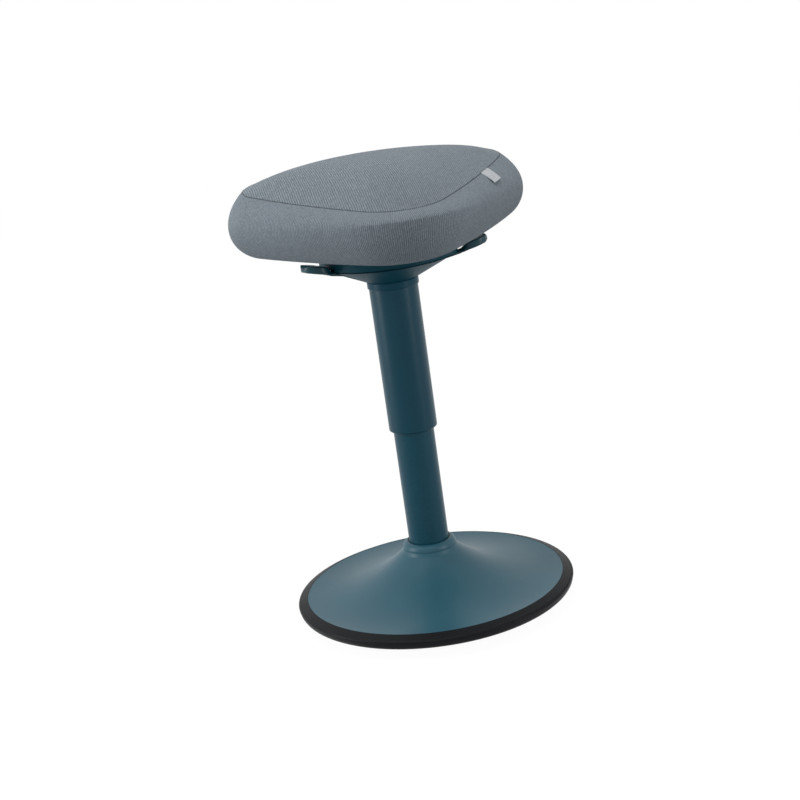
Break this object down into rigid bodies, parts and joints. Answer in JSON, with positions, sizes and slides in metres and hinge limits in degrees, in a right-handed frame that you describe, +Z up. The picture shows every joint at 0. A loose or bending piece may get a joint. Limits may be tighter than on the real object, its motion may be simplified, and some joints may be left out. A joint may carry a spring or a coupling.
{
  "type": "wobble stool",
  "caption": "Height-adjustable wobble stool: weighted rocking base with rubber rim, telescopic column, release paddles and a padded three-cornered seat.",
  "frame": {"origin": "on the column axis at floor level, where the flat middle of the sole rests", "axes": "+Z up along the column, -Y towards the seat's nose, +X to the sitter's left when the sitter faces the nose"},
  "size_m": [0.3636, 0.35, 0.5668],
  "materials": {
    "sole_rubber": "matt",
    "carrier_plastic": "matt",
    "ballast_iron": "as cast",
    "fastener_steel": "zinc plated",
    "disc_paint": "satin powder coat",
    "rim_rubber": "satin",
    "dark_plastic": "matt",
    "socket_steel": "plain",
    "tube_paint": "satin powder coat",
    "collar_paint": "satin powder coat",
    "bearing_steel": "ground",
    "rod_chrome": "hard chrome",
    "piston_alloy": "machined",
    "seal_rubber": "plain",
    "cylinder_black": "satin",
    "release_steel": "plain",
    "housing_plastic": "fine grain",
    "lever_plastic": "fine grain",
    "board_wood": "birch plywood",
    "foam": "moulded foam",
    "side_fabric": "ribbed melange weave",
    "top_fabric": "ribbed melange weave",
    "tag_fabric": "woven tape, bare"
  },
  "bodies": {
    "base": {"sole_pad": "sole_rubber", "base_carrier": "carrier_plastic", "ballast_disc": "ballast_iron", "ballast_screws": "fastener_steel", "base_shell": "disc_paint", "rim_bumper": "rim_rubber", "neck_seal": "dark_plastic", "column_socket": "socket_steel", "socket_bolts": "fastener_steel", "lower_tube": "tube_paint", "foot_plate": "socket_steel", "lower_race": "bearing_steel", "guide_bushing": "dark_plastic"},
    "gas_rod": {"rod": "rod_chrome", "rod_clip": "fastener_steel", "upper_race": "bearing_steel", "bearing_balls": "bearing_steel", "piston": "piston_alloy", "piston_seal": "seal_rubber", "piston_nut": "fastener_steel"},
    "seat": {"gas_cylinder": "cylinder_black", "cylinder_gland": "piston_alloy", "valve_block": "cylinder_black", "taper_hub": "socket_steel", "upper_tube": "tube_paint", "skirt_guide": "dark_plastic", "tube_spacer": "dark_plastic", "tube_collar": "collar_paint", "cone_housing": "housing_plastic", "housing_screws": "fastener_steel", "mech_channel": "socket_steel", "seat_plate": "socket_steel", "plate_bolts": "fastener_steel", "t_nuts": "fastener_steel", "stop_pad": "dark_plastic", "right_pivot_pin": "fastener_steel", "left_pivot_pin": "fastener_steel", "seat_board": "board_wood", "seat_foam": "foam", "side_panel": "side_fabric", "top_panel": "top_fabric", "seam_tag": "tag_fabric"},
    "right_lever": {"right_lever": "lever_plastic"},
    "left_lever": {"left_lever": "lever_plastic"},
    "release_button": {"release_button": "release_steel", "press_cap": "release_steel"}
  },
  "joints": [
    {"name": "seat_swivel", "type": "hinge", "parent": "base", "child": "gas_rod", "pos_m": [0, 0, 0.0428], "axis": [0, 0, 1], "continuous": true},
    {"name": "height_slide", "type": "slide", "parent": "gas_rod", "child": "seat", "axis": [0, 0, 1], "range_m": [-0.13, 0]},
    {"name": "right_lever_pivot", "type": "hinge", "parent": "seat", "child": "right_lever", "pos_m": [0.041, 0, 0.4516], "axis": [0, -1, 0], "range_deg": [0, 2.5], "stiffness_Nm_per_rad": 3, "springref_deg": -2.86},
    {"name": "left_lever_pivot", "type": "hinge", "parent": "seat", "child": "left_lever", "pos_m": [-0.041, 0, 0.4516], "axis": [0, 1, 0], "range_deg": [0, 2.5]},
    {"name": "button_press", "type": "slide", "parent": "seat", "child": "release_button", "axis": [0, 0, -1], "range_m": [0, 0.0018]}
  ],
  "couplings": [
    {"joint": "left_lever_pivot", "follows": "right_lever_pivot", "ratio": 1},
    {"joint": "button_press", "follows": "right_lever_pivot", "m_per_rad": 0.038}
  ]
}
